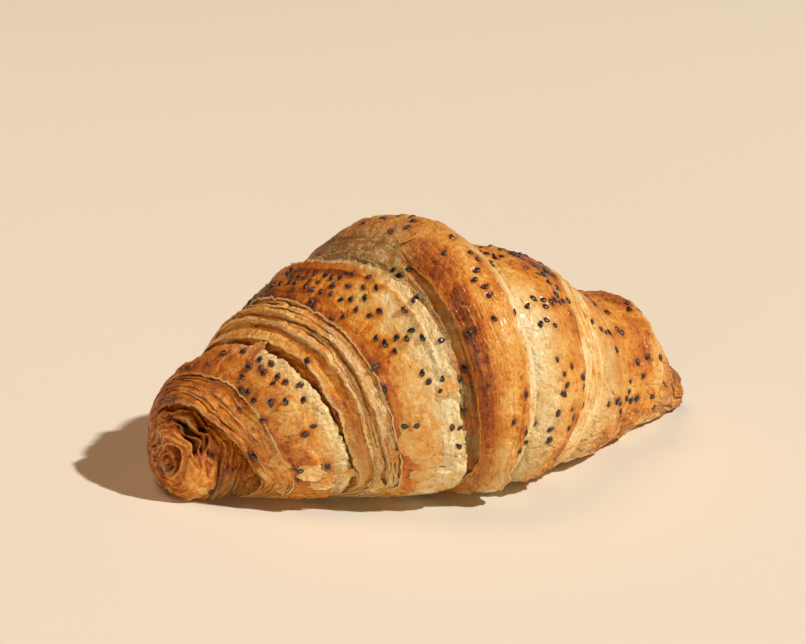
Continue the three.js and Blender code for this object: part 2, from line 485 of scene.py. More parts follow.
# %% [markdown]
# ## One table of the whole skin
#
# From here on the skin is handled as whole grids, with one value for every column and row, so
# that a single line of arithmetic shapes or browns all of it.  Three kinds of position are
# useful: a place in space for dents, a place in the grain (mm across the wraps and mm around
# the roll) for lines that follow the leaves, and a share of the way across a band.

# %% Gather the columns
X, HIGH, FROM_LEFT, TO_RIGHT, U, OWNER, BARE, IS_RIM = (
    np.array(values) for values in zip(*skin_columns))
ANGLES = ANGLE[None, :] + 0 * X
DEG = DEGREES[None, :] + 0 * X
V = AROUND[None, :] + 0 * X
GRAIN = np.stack([U, V, 0 * U], -1)
SMOOTH = on_skin(X, ANGLES, 0 * X)
PLACE = SMOOTH + 150                         # keeps every coordinate above zero
HEIGHT = SMOOTH[..., 2]
SHARE = FROM_LEFT / (FROM_LEFT + TO_RIGHT)
column_names = np.array([band["name"] for band in laid_bands])[OWNER]


def in_band(*wanted):
    """1 on the columns of the named bands, 0 elsewhere."""
    return np.isin(column_names, wanted)[:, None] * np.ones_like(X)


LEAVES_BETWEEN = in_band("gap", "leaf_a", "leaf_b", "leaf_c")
RIDGES = in_band("ridge_a", "ridge_b", "under_leaf", "tip_leaf")
CRUST = in_band("first", "second", "middle", "third", "last", "tip")
EDGE_CLEAR = ease(np.minimum(FROM_LEFT, TO_RIGHT), 0, 1.5)
TOP_AND_FRONT = ease(DEG, -55, -10)
MELTED = in_band("middle") * (1 - ON_TOP)[None, :]      # where the middle wrap has no left edge
print("grid:", X.shape)

# %% [markdown]
# ## Where the seeds fell
#
# The sesame is scattered by hand on the wet egg wash before baking, so the seeds lie in loose
# clusters on the upper sides of the wraps.  Each seed sinks into a small dimple, and the wash
# that gathers around it browns darker; that darkening is partly painted shade at the seed's foot.

# %% Where the seeds fell
SEED_CLUSTERS = [
    # along the roll, degrees around it, spread in mm, seeds
    (-50, -30, 4, 7), (-48, -14, 3, 7), (-47, -4, 3, 6), (-46, 9, 3.5, 7), (-42, 18, 4, 7),
    (-40, 30, 3, 4), (-45, 28, 4, 3), (-40, 41, 2, 2), (-34, 44, 2, 2), (-34, 54, 2.5, 2),
    (-42, 52, 2, 2), (-40, 58, 3, 3), (-30, 63, 4, 2), (-37, 72, 6, 4), (-30, 85, 5, 3),
    (-29, 100, 5, 3), (-38, 94, 5, 2),
    (-68, 13, 4, 3), (-62, 36, 4, 4), (-70, 40, 4, 4), (-60, 48, 2, 2), (-69, 50, 5, 4),
    (-63, 52, 3, 3), (-67, 68, 5, 3), (-60, 68, 5, 3), (-64, 95, 7, 3), (-58, 112, 6, 3),
    (-22, -9, 4, 4), (-22, 7, 3, 3), (-12, 0, 6, 4), (-16, 20, 5, 2), (-29, 25, 2, 3),
    (-28, 43, 2, 2), (-11, 30, 3, 2), (-15, 44, 4, 4), (-17, 57, 4, 2), (0, 25, 3, 2),
    (-9, 54, 4, 1), (-13, 87, 5, 2), (-6, 108, 5, 3), (-24, 78, 3, 3), (-23, 92, 3, 2),
    (3, 10, 5, 6), (12, 0, 5, 7), (19, -4, 4, 5), (13, 25, 3, 3), (19, 20, 3, 3),
    (16, 32, 4, 5), (6, 44, 4, 5), (15, 44, 3, 2), (7, 56, 4, 3), (2, 68, 5, 2), (9, 80, 5, 4),
    (11, 97, 6, 5), (0, 104, 6, 4),
    (44, 20, 6, 4), (60, 25, 5, 5), (35, 50, 6, 3), (45, 52, 6, 4), (52, 75, 6, 4),
    (48, 96, 6, 5), (37, 99, 5, 4), (58, 98, 3, 3),
    (-45, -55, 8, 6), (-20, -45, 9, 7), (10, -40, 9, 8), (45, -30, 9, 6), (-35, -85, 9, 5),
    (-5, -90, 10, 5), (30, -80, 9, 4),
]
print(len(SEED_CLUSTERS), "clusters of seeds")

# %% Scatter them and press their dimples
SEED_RADIUS = 34          # mm, of the roll where most seeds lie
MM_PER_DEGREE = 0.6       # around the roll at that radius
SEED_CLEARANCE = 2.2      # mm between the middles of two seeds
TIGHTNESS = 0.6           # most seeds of a cluster fall within this share of its spread
TRIES = 6                 # throws for each seed before it is given up
DIMPLE_WIDTH = 1.5


def nearest_spot(x, degrees):
    """Row and column of the grid point on top of the skin closest to a place and angle."""
    row = np.abs(DEGREES - degrees).argmin()
    away = np.abs(X[:, row] - x) + 50 * (IS_RIM[:, row] > 0.5)
    return away.argmin(), row


def scatter():
    """Places of the seeds: around each cluster's middle, none lying across another."""
    rng = np.random.default_rng(7)
    taken = []
    for x, degrees, wide, count in SEED_CLUSTERS:
        reach = wide * TIGHTNESS
        for _ in range(count * TRIES):
            if count == 0:
                break
            at = (x + rng.normal() * reach,
                  degrees + math.degrees(rng.normal() * reach / SEED_RADIUS))
            gaps = [math.hypot(at[0] - a, (at[1] - b) * MM_PER_DEGREE) for a, b in taken]
            if all(gap > SEED_CLEARANCE for gap in gaps):
                taken.append(at)
                count -= 1
    return taken


SEED_PLACES = scatter()
SEED_SPOTS = [nearest_spot(x, degrees) for x, degrees in SEED_PLACES]


def dimples(reach=9):
    """1 under each seed, falling to 0 a little way outside it."""
    depth = np.zeros_like(X)
    for column, row in SEED_SPOTS:
        columns = np.arange(max(column - reach, 0), min(column + reach + 1, len(X)))[:, None]
        rows = (np.arange(row - reach, row + reach + 1) % ROWS)[None, :]
        away = np.linalg.norm(SMOOTH[columns, rows] - SMOOTH[column, row], axis=-1)
        depth[columns, rows] = np.maximum(depth[columns, rows], hill(away, DIMPLE_WIDTH))
    return depth


DIMPLES = dimples()
print(len(SEED_PLACES), "seeds on the skin")

# %% [markdown]
# ## Relief of the crust
#
# On top of the bands goes the relief of baking.  Dents come from uneven proofing, and fine
# lines run around the roll because the dough was stretched that way.  Blisters are steam under
# the egg wash.  Close to the tray, and in dry patches, the thin skin has broken into plates.
# Torn rims are crumbly, because the pale inside of the dough shows there.  All of this is
# moved in the mesh; the material only adds small unevenness, up to some two millimetres wide.

# %% Where lines show and where crumb shows
LEAST_LINED = 0.38
RAISED_LINE_AT = 2.9      # a fine ridge runs this far from the raised rim
SUNK_STRIP_AT = 1.9       # with a shallow strip between it and the rim


def lined():
    """How strongly the leaves' fine lines show through, 0 to 1."""
    near_right = hill(TO_RIGHT, 5) * in_band("middle", "last", "second", "first", "third")
    near_left = hill(FROM_LEFT, 4) * in_band("second", "last", "middle")
    field = in_band("valley", "stack", "core") + LEAVES_BETWEEN + RIDGES
    strongest = np.maximum(field, 0.7 * np.maximum(near_left, near_right))
    return np.clip(strongest, LEAST_LINED, 1)


def crumbly():
    """Where the inside of the dough is torn open, 0 to 1."""
    rim_width = 0.7 + 0.7 * ease(DEG, -10, 35)
    rim = in_band("second") * ease(1 - TO_RIGHT / rim_width, 0, 0.6) * TOP_AND_FRONT
    torn_width = np.maximum(3.2 + 2.2 * noise(PLACE, 5, 66), 0.8)
    torn = in_band("first") * ease(1 - TO_RIGHT / torn_width, 0, 0.7) * ease(DEG, -10, 40)
    return np.maximum(rim, torn)


def raised_line():
    """The fine ridge that follows the raised rim of the second wrap."""
    wander = 0.6 * noise(GRAIN, (40, 11, 9), 61)
    line = hill(TO_RIGHT - RAISED_LINE_AT - wander, 0.6)
    return in_band("second") * line * TOP_AND_FRONT * (1 - ease(DEG, 62, 80))


LINED = lined()
CRUMBLE = crumbly()
RIDGE_LINE = raised_line()
print("crumbly share of the skin:", CRUMBLE.mean().round(3))

# %% Folds, blisters and plates
DENTS = [(15, 0.5, 21), (6, 0.30, 22), (2.6, 0.14, 23), (1.3, 0.15, 31)]     # size, height, seed
LINES = [((1.1, 18, 9), 1.0, 24), ((0.8, 9, 9), 0.7, 25)]
CRUMBS = [(1.2, 0.45, 29), (0.7, 0.3, 30)]
BELLY = [(11, 0.9, 64), (3.5, 0.7, 65)]
BLISTER_SPACING, BLISTER_HEIGHT = 4.2, 0.35
PLATE_SIZE, PLATE_STEP = 6.0, 1.5
SCALE_SIZE, SCALE_STEP = 2.4, 0.26       # the same, in small


def noises(points, table):
    """Several sizes of noise added up; each row gives a size, a height and a seed."""
    return sum(height * noise(points, size, seed) for size, height, seed in table)


def warp(size, seed):
    """A sideways push that makes straight cell borders wander."""
    return np.stack([noise(PLACE, size, seed), noise(PLACE, size, seed + 1), 0 * U], -1)


def folds():
    """Dents of proofing, creases of the stretched skin, and fine lines around the roll."""
    long_creases = hill(noise(GRAIN, (5, 13, 9), 32), 0.09)
    short_creases = hill(noise(GRAIN, (3, 6, 9), 33), 0.08)
    smooth_tip = 1 - 0.85 * in_band("tip")
    dents = noises(PLACE, DENTS) * (1 - 0.6 * RIDGES)
    creases = 0.36 * (long_creases + 0.7 * short_creases) * CRUST * smooth_tip
    line_height = 0.16 + 0.34 * in_band("valley")
    return dents - creases + line_height * noises(GRAIN, LINES) * LINED * smooth_tip


def blisters():
    away, _, number = cells(X + 200, V + 200, BLISTER_SPACING, 26)
    dome = np.clip(1 - (away / (0.16 + 0.22 * number)) ** 2, 0, 1)
    return BLISTER_HEIGHT * dome * (number > 0.7) * CRUST * EDGE_CLEAR


def plates():
    """Broken skin: its relief, the dark cracks in it and the pale rims of its plates."""
    low = 1 - ease(HEIGHT, 8, 28)
    patchy = ease(noise(PLACE, 14, 36), 0.15, 0.4) * 0.5
    dry = 0.55 * in_band("first") * ease(DEG, -70, -20)
    whole = CRUST * EDGE_CLEAR
    bent = GRAIN + 1.6 * warp(4, 34)
    _, border, number = cells(bent[..., 0] + 200, bent[..., 1] + 200, PLATE_SIZE, 27)
    where = np.maximum(np.maximum(low, patchy), dry) * whole
    edge = ease(border, 0.015, 0.07)
    relief = PLATE_STEP * (number - 0.3) * edge * where - 0.3 * (1 - edge) * where
    cracks = (1 - ease(border, 0.02, 0.10)) * where * (number < 0.55)
    rims = (1 - ease(border, 0.03, 0.13)) * where * (number >= 0.55)

    bent = bent + 0.5 * warp(1.2, 37)
    _, border, number = cells(bent[..., 0] + 300, bent[..., 1] + 100, SCALE_SIZE, 39)
    where = (0.4 + 0.6 * low) * whole
    relief += (SCALE_STEP + 0.5 * dry) * (number - 0.4) * ease(border, 0.02, 0.12) * where
    cracks = np.maximum(cracks, 0.5 * (1 - ease(border, 0.03, 0.14)) * where)
    fine_rims = 1.3 * dry * (1 - ease(border, 0.04, 0.16)) * (number > 0.6) * EDGE_CLEAR
    return relief, cracks, np.maximum(rims, fine_rims)


PLATES, CRACKS, BROKEN_RIMS = plates()
print("plates stand", PLATES.min().round(2), "to", PLATES.max().round(2), "mm")

# %% All of the relief, and the skin's points
BLUR_REACH = 4            # columns and rows around a spot that count as its surroundings
HUB_SHARE = 0.5           # how far the inside of the open end shrinks towards its middle


def layers(away, pitch, seed):
    """Overlapping leaf edges side by side: each rises slowly and drops at its rim."""
    phase = away / pitch + 0.8 * noise(GRAIN, (5, 24, 9), seed)
    part = phase - np.floor(phase)
    return part * (1 - ease(part, 0.82, 1))


def side_layers():
    """Leaf edges that show beside the right and left edges of some wraps."""
    right = 0.4 * layers(TO_RIGHT, 1.5, 62) * in_band("middle", "last", "second")
    right *= ease(1 - TO_RIGHT / 5, 0, 0.4) * (1 - CRUMBLE) * ease(DEG, 20, 50)
    left = 0.35 * layers(-FROM_LEFT, 1.4, 63) * in_band("second") * ease(1 - FROM_LEFT / 5, 0, 0.5)
    return right + left


def torn_leaves():
    """Ragged rims and streaks of the thin leaves between the first and second wrap."""
    rims = np.maximum(IS_RIM, hill(FROM_LEFT, 1.3)) * LEAVES_BETWEEN
    ragged = (0.08 + 0.14 * rims) * noise(PLACE, 0.9, 40)
    return (ragged + 0.22 * noise(GRAIN, (0.7, 7, 9), 46)) * LEAVES_BETWEEN


def crust_relief():
    strip = 0.35 * in_band("second") * hill(TO_RIGHT - SUNK_STRIP_AT, 0.6) * TOP_AND_FRONT
    belly = noises(PLACE, BELLY) * hill(np.abs(DEG) - 128, 22)
    return (folds() + blisters() + PLATES + noises(PLACE, CRUMBS) * CRUMBLE + torn_leaves()
            + 0.75 * RIDGE_LINE - strip + side_layers() + belly - 0.3 * DIMPLES)


RELIEF = HIGH + crust_relief()
SKIN = on_skin(X, ANGLES, RELIEF)
inner = np.where(column_names == "core")[0]
_, inner_height, inner_pushed = envelope_at(X[inner])
hub = np.stack([X[inner], inner_pushed, AXIS_HEIGHT * inner_height], -1)
SKIN[inner] = mix(hub, SKIN[inner], HUB_SHARE)
PROUD = np.clip(RELIEF - blur(RELIEF, BLUR_REACH), -0.6, 0.6)
print("skin points:", SKIN.shape[:2], "relief mm", RELIEF.min().round(1), RELIEF.max().round(1))

# %% [markdown]
# ## How brown each spot is
#
# Browning follows the oven: crests brown first, folds stay pale, and the egg wash deepens the
# colour wherever the brush reached.  The rims of the leaves never saw the brush and stay
# cream.  Where a wrap was covered by its neighbour until it puffed out, its skin has only
# steamed and is a pale grey cream.  Some darkening is painted shade: in the deep valley beside
# the raised rim, in cracks and at the feet of the seeds.  Each point of the skin carries these as
# numbers that the material reads: how far it is baked, how much is steamed, how much bare
# crumb shows and how strongly the grain of the leaves shows.

# %% Browning
TONES = {
    # name: places across the band (0 left edge, 1 right edge) and how far they are baked
    "core": ([0, 1], [1.0, 1.0]),
    "stack": ([0, 0.5, 1], [0.46, 0.50, 0.44]),
    "first": ([0, 0.3, 0.7, 1], [0.58, 0.46, 0.36, 0.28]),
    "gap": ([0, 1], [0.5, 0.55]),
    "leaf_a": ([0, 1], [0.42, 0.48]),
    "leaf_b": ([0, 1], [0.38, 0.48]),
    "leaf_c": ([0, 1], [0.44, 0.54]),
    "second": ([0, 0.1, 0.35, 0.6, 0.8, 1], [0.62, 0.52, 0.27, 0.14, 0.11, 0.08]),
    # the valley is darker at its left, beside the raised rim: painted shade in the deep fold
    "valley": ([0, 0.3, 0.5, 0.85, 1], [0.68, 0.60, 0.52, 0.50, 0.56]),
    "middle": ([0, 0.08, 0.18, 0.3, 0.5, 0.85, 1], [0.70, 0.73, 0.65, 0.49, 0.34, 0.44, 0.26]),
    "under_leaf": ([0, 1], [0.0, 0.04]),
    "third": ([0, 0.25, 0.6, 1], [0.12, 0.22, 0.45, 0.63]),
    "ridge_a": ([0, 1], [0.30, 0.16]),
    "ridge_b": ([0, 1], [0.26, 0.14]),
    "last": ([0, 0.3, 0.8, 1], [0.30, 0.47, 0.54, 0.36]),
    "tip_leaf": ([0, 1], [0.2, 0.3]),
    "tip": ([0, 0.5, 0.8, 1], [0.54, 0.60, 0.72, 0.92]),
}
HEAT = [(12, 0.12, 41), (5, 0.10, 42)]     # size, height, seed


def browning():
    """How far each point is baked, 0 pale to 1 burnt, with painted shade added in the valley, in cracks
    and at the feet of the seeds.
    """
    bake_and_shade = np.zeros_like(X)
    for name, (places, tones) in TONES.items():
        bake_and_shade += in_band(name) * np.interp(SHARE, places, tones)
    bake_and_shade = mix(bake_and_shade, mix(0.58, 0.38, ease(FROM_LEFT, 0, 9)), MELTED * hill(FROM_LEFT, 12))
    upper = 1 - ease(DEG, -5, 42)

    # the brush went over the top and the back, skipped the thin leaves and the low front
    bake_and_shade += 0.16 * in_band("second") * hill(TO_RIGHT, 4) * (1 - ease(DEG, 15, 55))
    # the valley is painted darker at the top and low on the front, as shade in its deep fold
    bake_and_shade += 0.10 * in_band("valley") * (ease(DEG, 60, 90) - ease(DEG, 30, 60) + 1)
    bake_and_shade += upper * (0.18 * in_band("third", "last", "first", "stack") + 0.27 * in_band("second"))
    bake_and_shade -= 0.05 * CRUST + 0.18 * LEAVES_BETWEEN * (1 - ease(DEG, 0, 45))
    bake_and_shade -= 0.12 * in_band("middle") * ease(DEG, 100, 122)

    # patches and crests against folds, from uneven heat; darker towards the top and paler towards the
    # tray
    bake_and_shade += noises(PLACE, HEAT)
    bake_and_shade += 0.26 * PROUD * CRUST
    bake_and_shade += 0.05 * ease(HEIGHT, 30, 75)
    bake_and_shade -= 0.14 * (1 - ease(HEIGHT, 1, 16))

    # thin ridges catch the heat; cracks and the feet of the seeds are darker, partly from wash that
    # gathers there and partly as painted shade
    bake_and_shade += 0.16 * RIDGE_LINE + 0.26 * CRACKS + 0.24 * DIMPLES
    return np.clip(bake_and_shade, 0, 1)


BAKE_AND_SHADE = browning()
print("mean browning", BAKE_AND_SHADE.mean().round(2))


# %% Steamed skin and bare crumb
def steamed():
    """Where a wrap was covered by its neighbour in the oven, 0 to 1."""
    patches = np.clip(0.75 + 0.7 * noise(PLACE, 8, 44), 0, 1)
    pale = in_band("second") * ease(SHARE, 0.4, 0.85) * ease(DEG, 30, 65)
    pale += in_band("first") * ease(SHARE, 0.55, 0.9) * ease(DEG, 15, 55)
    pale += 0.7 * in_band("third") * (1 - ease(SHARE, 0.25, 0.7)) * ease(DEG, 25, 70)
    pale += 0.75 * in_band("valley") * (1 - 0.6 * ease(SHARE, 0.6, 1.0) * ease(DEG, 20, 60))
    pale += 0.62 * MELTED * hill(FROM_LEFT, 6)
    pale += in_band("middle") * (0.2 * (1 - ease(DEG, 10, 45)) + 0.35 * ease(DEG, 104, 125))
    pale += 0.4 * in_band("last") * (1 - ease(SHARE, 0.1, 0.5)) * ease(DEG, 40, 90)
    pale += 0.3 * LEAVES_BETWEEN * ease(DEG, 75, 115)
    return np.clip(pale * patches, 0, 1)


def bare_crumb():
    """Where the pale inside of the dough shows: rims, torn edges and broken plates."""
    crumb = np.maximum(BARE * (0.25 + 0.75 * ease(DEG, 0, 40)), CRUMBLE)
    crumb = np.maximum(crumb, 0.5 * in_band("second") * hill(TO_RIGHT - 1.6, 0.6) * ease(DEG, 5, 50))
    thin_rims = in_band("leaf_a", "leaf_b", "leaf_c") * hill(FROM_LEFT, 0.55)
    crumb = np.maximum(crumb, 0.7 * thin_rims * (0.25 + 0.75 * ease(DEG, 0, 50)))
    crumb = np.maximum(crumb, 0.5 * BROKEN_RIMS * (0.4 + 0.6 * ease(DEG, 0, 45)))
    return np.clip(crumb * (0.85 + 0.4 * noise(PLACE, 2.2, 43)), 0, 1)


STEAMED, CRUMB = steamed(), bare_crumb()
print("mean steamed", STEAMED.mean().round(2), "bare crumb", CRUMB.mean().round(2))

# %% [markdown]
# ## From points to a mesh
#
# The drawing's middle lies over the solid's origin, so everything shifts by that one step.
# Skin, core, seeds and flakes are all grids of closed rings.  A grid becomes quads, its first
# and last rings close on a point each, or shrink to one, and the numbers of the crust ride
# along as attributes.

# %% Mesh helpers
def make_mesh(name, points, quads, tris=None):
    """A smooth-shaded mesh object from points in mm and faces of 4 (and of 3) corners."""
    faces = quads.tolist() + ([] if tris is None else tris.tolist())
    mesh = bpy.data.meshes.new(name)
    mesh.from_pydata((points - DRAWN_MIDDLE) * MM, [], faces)
    mesh.shade_smooth()
    thing = bpy.data.objects.new(name, mesh)
    bpy.context.collection.objects.link(thing)
    return thing


def add_numbers(thing, **layers_of_values):
    """Numbers (or vectors) at the points, which the materials read by name."""
    for name, values in layers_of_values.items():
        values = np.asarray(values, np.float32)
        kind, field = ("FLOAT", "value") if values.ndim == 1 else ("FLOAT_VECTOR", "vector")
        layer = thing.data.attributes.new(name, kind, "POINT")
        layer.data.foreach_set(field, values.ravel())


def ring_quads(rings, around):
    """Faces of a grid of closed rings, facing outwards when the rings run towards +X."""
    i, j = np.meshgrid(np.arange(rings - 1), np.arange(around), indexing="ij")
    here, side = i * around + j, i * around + (j + 1) % around
    return np.stack([here, side, side + around, here + around], -1).reshape(-1, 4)


def one_mesh_of(name, clouds, quads, tris=None):
    """One object out of many clouds of points that all have the same faces."""
    starts = np.arange(len(clouds))[:, None, None] * len(clouds[0])
    tris = None if tris is None else (tris + starts).reshape(-1, 3)
    return make_mesh(name, np.concatenate(clouds), (quads + starts).reshape(-1, 4), tris)


def end_fans(rings, around):
    """Triangles that close both ends of a grid of rings on two points that come after it."""
    spoke = np.arange(around)
    beside = (spoke + 1) % around
    middle, last = rings * around, (rings - 1) * around
    return np.concatenate([np.stack([0 * spoke + middle, beside, spoke], -1),
                           np.stack([0 * spoke + middle + 1, last + spoke, last + beside], -1)])


def with_ends(grid, ends=None):
    """A grid's values as one list, and after them the values of its two end points."""
    ends = grid[[0, -1], 0] if ends is None else ends
    width = grid[0, 0].size
    return np.concatenate([grid.reshape(-1, width), ends.reshape(2, width)]).squeeze()


def add_bake_map(thing, rings, around):
    """A plain unwrap of a grid of rings: along it one way, around it the other."""
    layer = thing.data.uv_layers.new(name="OFBake")
    i, j = np.meshgrid(np.arange(rings - 1), np.arange(around), indexing="ij")
    u0, u1, v0, v1 = i / rings, (i + 1) / rings, j / around, (j + 1) / around
    quads = np.stack([u0, v0, u0, v1, u1, v1, u1, v0], -1).reshape(-1)
    rest = np.full(len(layer.data) * 2 - len(quads), 0.9995)
    layer.data.foreach_set("uv", np.concatenate([quads, rest]).astype(np.float32))


def ride_and_replace(thing, material):
    thing.data.materials.append(material)
    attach(thing, "root")
    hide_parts("croissant")


print("faces and end triangles of a 3 x 4 grid:", len(ring_quads(3, 4)), len(end_fans(3, 4)))


# %% The skin
def build_skin():
    rings = len(X)
    middles = SKIN[[0, -1]].mean(1)
    middles[1, 0] = END
    skin = make_mesh("croissant_skin", with_ends(SKIN, middles), ring_quads(rings, ROWS),
                     end_fans(rings, ROWS))
    add_numbers(skin, baked=with_ends(BAKE_AND_SHADE), steamed=with_ends(STEAMED), crumb=with_ends(CRUMB),
                lined=with_ends(LINED), grain=with_ends(GRAIN))
    add_bake_map(skin, rings, ROWS)
    return skin


skin = build_skin()
print("skin:", len(skin.data.vertices), "points,", len(skin.data.polygons), "faces")

# %% [markdown]
# ## The open end of the roll
#
# At the heavy end the rolled-up core sticks out from under the last wrap: a dome of leaves
# seen end-on.  The leaves wind in a spiral, and where steam pushed them apart there are
# pockets between thin bright walls; the pockets are painted dark red brown, as their shade.

# %% Core of the roll
CORE_MIDDLE = np.array([-75.8, 25.5, 10.6])
CORE_HALF = np.array([14.0, 16.5, 14.9])      # half sizes along, across and up
CORE_SQUARE = 2.4
CORE_AXIS = np.array([-0.90, -0.43, 0.05])
CORE_RINGS, CORE_SPOKES = 170, 400
CORE_RADIUS, CORE_GRAIN = 12.5, 12            # mm along the surface for one radian
FACE_FADES = 11, 15                           # mm from the pole where the rolled face ends
LEAF_PITCH = 1.8
TONGUE_WAY = np.array([-0.41, -0.91, -0.10])  # the smooth blistered plate on the core
TONGUE_HALF = np.array([0.34, 0.34, 0.46])    # its half size, as a share of the distance
POLE_GAP, BACK_EDGE = 0.02, math.radians(150) # tilt of the first ring and of the last, hidden one


def unit(vector):
    return vector / np.linalg.norm(vector, axis=-1, keepdims=True)


def reach_of_core(way):
    """How far the smooth core reaches in a direction from its middle."""
    return (np.abs(way / CORE_HALF) ** CORE_SQUARE).sum(-1) ** (-1 / CORE_SQUARE)


def core_of_roll():
    """Points of the core, how baked and bare they are, the painted shade on its lower side, and their
    grain.
    """
    pole = unit(CORE_AXIS)
    sideways = unit(np.cross(pole, [0, 0, 1]))
    upward = np.cross(sideways, pole)
    tilt = np.linspace(POLE_GAP, BACK_EDGE, CORE_RINGS)[:, None]
    turn = (np.arange(CORE_SPOKES) / CORE_SPOKES * 2 * np.pi)[None, :]
    shares = (np.cos(tilt + 0 * turn), np.sin(tilt) * np.cos(turn), np.sin(tilt) * np.sin(turn))
    way = sum(share[..., None] * axis for share, axis in zip(shares, (pole, sideways, upward)))
    reach = reach_of_core(way)
    out = tilt * CORE_RADIUS + 0 * turn
    spot = way * reach[..., None] + 60
    winding = (out + 1.7 * noise(spot, 5, 71) + 0.6 * noise(spot, 2.2, 72)) / LEAF_PITCH
    winding = winding - turn / (2 * np.pi)
    leaf, across = np.floor(winding), winding - np.floor(winding)
    pocket_place = np.stack([leaf * 3.7, turn * np.maximum(out, 3), 0 * across], -1)
    pocket = np.clip(0.5 + 1.7 * noise(pocket_place + 90, (1, 4.5, 9), 73), 0, 1)
    face = 1 - ease(out, *FACE_FADES)
    pit = np.clip(1.7 * np.sin(np.pi * across), 0, 1)
    beside_tongue = (way - unit(TONGUE_WAY)) / TONGUE_HALF
    tongue = ease(1 - np.linalg.norm(beside_tongue, axis=-1), 0, 0.25)
    wall = (1 - pit) * (1 - tongue)

    # walls of leaves with pockets between them, on the face; smooth dough behind it
    relief = 0.5 * tongue - (pocket * (0.6 + 2.4 * face) + 0.2) * pit * (1 - tongue)
    relief += noises(spot, [(3, 0.35, 74), (1.1, 0.14, 75)]) + 0.5 * face * wall * noise(spot, 1.4, 76)
    points = CORE_MIDDLE + way * (reach + relief)[..., None]
    points[..., 2] = np.maximum(points[..., 2], 0)

    # the pockets between the walls are painted far darker than the walls: painted shade deep between the
    # leaves
    baked = mix(0.62, 0.92, pit * pocket) - 0.22 * wall - 0.14 * tongue + 0.12 * noise(spot, 5, 77)
    baked = mix(np.clip(baked, 0, 1), 0.56 + 0.12 * noise(spot, 4, 78), (1 - face) * 0.7)
    bare = np.clip(wall * face * (0.2 + 0.7 * noise(spot, 2.5, 79)), 0, 1)
    # the lower side of the core, facing down, is painted a darker olive: painted shade
    painted_shade_below = (1 - face) * ease(-(way @ upward), 0.0, 0.5) * 0.5
    grain = np.stack([winding * LEAF_PITCH, turn * CORE_GRAIN + 0 * out, 0 * across], -1)
    return points, baked, bare, painted_shade_below, grain


def build_core():
    points, baked, bare, painted_shade_below, grain = core_of_roll()
    core = make_mesh("rolled_core", with_ends(points, points[[0, -1]].mean(1)),
                     ring_quads(CORE_RINGS, CORE_SPOKES)[:, ::-1],
                     end_fans(CORE_RINGS, CORE_SPOKES)[:, ::-1])
    # on the core the steamed layer carries the painted shade of its lower side
    add_numbers(core, baked=with_ends(baked), steamed=with_ends(painted_shade_below), crumb=with_ends(bare),
                lined=with_ends(0 * baked + 0.8), grain=with_ends(grain))
    add_bake_map(core, CORE_RINGS, CORE_SPOKES)
    return core


core = build_core()
print("core:", len(core.data.polygons), "faces")

# %% [markdown]
# ## Materials: helpers
#
# Colours are written as sRGB hex, as a colour picker gives them, and turned to linear light
# once.  One helper adds a node, sets its values, fills its ramp and links its inputs.  A
# mottled surface is several patterns on top of each other, so a second helper adds them up.

# %% Material helpers
USUAL_NOISE = (0.3, 0.7)      # the range that a noise mostly keeps to


def colour(text):
    parts = [int(text[i:i + 2], 16) / 255 for i in (1, 3, 5)]
    return [c / 12.92 if c <= 0.04045 else ((c + 0.055) / 1.055) ** 2.4 for c in parts] + [1.0]


def new_material(name):
    material = bpy.data.materials.new(name)
    material.use_nodes = True
    material.node_tree.nodes.clear()
    return material, material.node_tree


def node(tree, kind, links, values=None, stops=(), out=0, **settings):
    """Add a node with its links, plain values and colour stops, and give back one output."""
    made = tree.nodes.new("ShaderNode" + kind)
    for key, value in settings.items():
        setattr(made, key, value)
    for key, value in (values or {}).items():
        made.inputs[key].default_value = value
    for key, source in links.items():
        tree.links.new(source, made.inputs[key])
    for _ in stops[2:]:
        made.color_ramp.elements.new(0.5)
    for number, (place, text) in enumerate(stops):
        made.color_ramp.elements[number].position = place
        made.color_ramp.elements[number].color = colour(text)
    return made.outputs[out] if len(made.outputs) else made


def added_up(tree, *parts):
    """Sum of values; a part (value, low, high) is a noise stretched to that range first."""
    total = None
    for part in parts:
        if isinstance(part, tuple):
            value, *ends = (*part, *USUAL_NOISE)[:5]
            ends = dict(zip(("To Min", "To Max", "From Min", "From Max"), ends))
            part = node(tree, "MapRange", {"Value": value}, ends)
        total = part if total is None else node(tree, "Math", {0: total, 1: part}, operation="ADD")
    return total


print("middle grey in linear light:", round(colour("#808080")[0], 3))

# %% [markdown]
# ## Baked laminated dough
#
# Egg-washed crust is a thin brown glaze over pale dough.  Its colour runs from cream through
# gold and orange to a dark red brown where sugar has caramelised.  It is mottled at the size
# of the dough's bubbles, 2 to 8 mm, freckled at the size of burst ones, and streaked along
# the grain of the leaves.  The glaze gives it a soft satin shine; bare crumb is matt.

# %% Crust material
CRUST_COLOURS = [
    (0.00, "#edd6a6"), (0.16, "#e8c17c"), (0.32, "#e0a44c"), (0.48, "#d28424"),
    (0.62, "#b96412"), (0.76, "#90450c"), (0.90, "#5e2a08"), (1.00, "#321305"),
]
STEAMED_COLOURS = [(0.0, "#6e5828"), (0.35, "#b39c62"), (0.7, "#dccb9c"), (1.0, "#ecdfb9")]
CRUMB_COLOURS = [(0.0, "#c99a54"), (0.35, "#e2c485"), (0.7, "#efd9a4"), (1.0, "#f6e8c2")]
PER_METRE = (1000, 1000, 1000)      # turns a position in metres into one in mm
ALONG_GRAIN = (1, 0.07, 1)          # draws spots out into streaks around the roll


